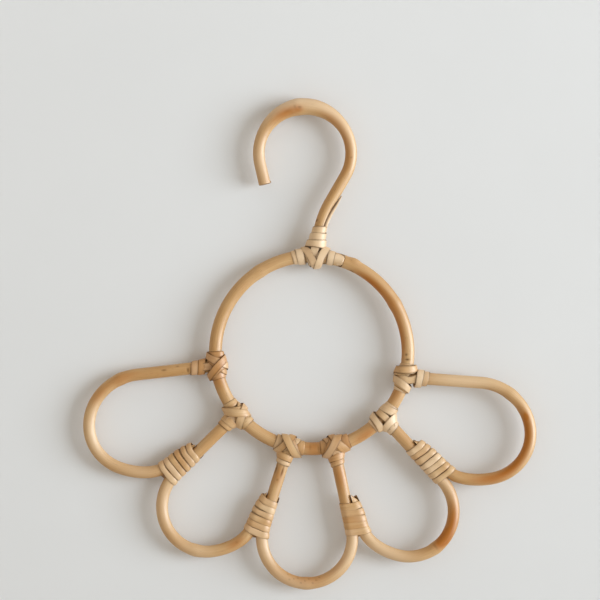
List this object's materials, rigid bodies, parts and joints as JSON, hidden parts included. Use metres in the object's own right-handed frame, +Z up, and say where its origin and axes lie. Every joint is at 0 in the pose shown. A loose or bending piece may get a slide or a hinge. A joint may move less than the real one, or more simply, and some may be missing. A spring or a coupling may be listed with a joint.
{
  "type": "clothes hanger",
  "caption": "Rattan clothes hanger for small garments: a cane hook, a cane ring and a fan of bent petals, bound with strips of peel.",
  "frame": {"origin": "the underside of the hook's crown, where the hanger rests on a rail or a peg", "axes": "+Z up as it hangs, +X to the right seen from the front, and the front faces -Y"},
  "size_m": [0.2947, 0.014, 0.3183],
  "materials": {
    "cane": "peeled and sanded rattan cane, satin",
    "peel": "split rattan peel with its smooth skin outwards",
    "brad": "bright drawn wire"
  },
  "bodies": {
    "root": {"ring_cane": "cane", "hook_cane": "cane", "petal_cane_1": "cane", "petal_cane_2": "cane", "petal_cane_3": "cane", "petal_cane_4": "cane", "petal_cane_5": "cane", "hook_lashing": "peel", "foot_lashing_1": "peel", "foot_lashing_2": "peel", "foot_lashing_3": "peel", "foot_lashing_4": "peel", "foot_lashing_5": "peel", "foot_lashing_6": "peel", "lap_wrap_1": "peel", "lap_wrap_2": "peel", "lap_wrap_3": "peel", "lap_wrap_4": "peel", "ring_brad": "brad", "hook_brad": "brad", "foot_brad_1": "brad", "foot_brad_2": "brad", "foot_brad_3": "brad", "foot_brad_4": "brad", "foot_brad_5": "brad", "foot_brad_6": "brad", "lap_brad_1": "brad", "lap_brad_2": "brad", "lap_brad_3": "brad", "lap_brad_4": "brad"}
  },
  "joints": []
}
